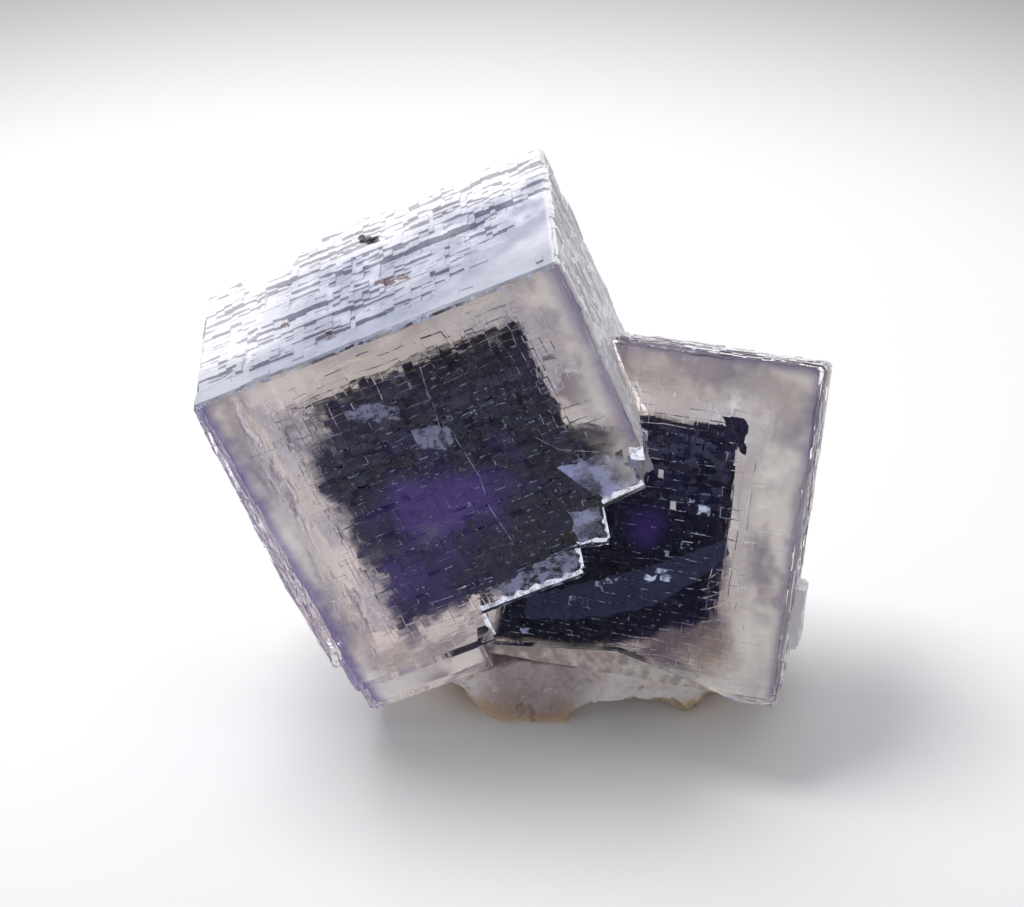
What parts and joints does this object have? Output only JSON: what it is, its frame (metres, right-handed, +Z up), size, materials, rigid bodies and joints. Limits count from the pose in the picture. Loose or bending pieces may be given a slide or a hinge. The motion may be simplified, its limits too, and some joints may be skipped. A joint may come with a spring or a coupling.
{
  "type": "fluorite cube specimen",
  "caption": "Intergrown clear lilac fluorite cubes with near-black violet cores, stepped faces and chipped edges, resting on a small rough broken stone base.",
  "frame": {"origin": "on the surface it rests on, under the middle of its bounding box", "axes": "+X to the viewer's right along the longest extent, +Y away from the viewer, +Z up"},
  "size_m": [0.062, 0.035, 0.052],
  "materials": {
    "fluorite": "clear crystal, polished growth steps, lilac tint over a dark violet core",
    "matrix": "rough broken translucent stone with an ochre rim"
  },
  "bodies": {
    "root": {"fluorite_cubes": "fluorite", "matrix_base": "matrix"}
  },
  "joints": []
}
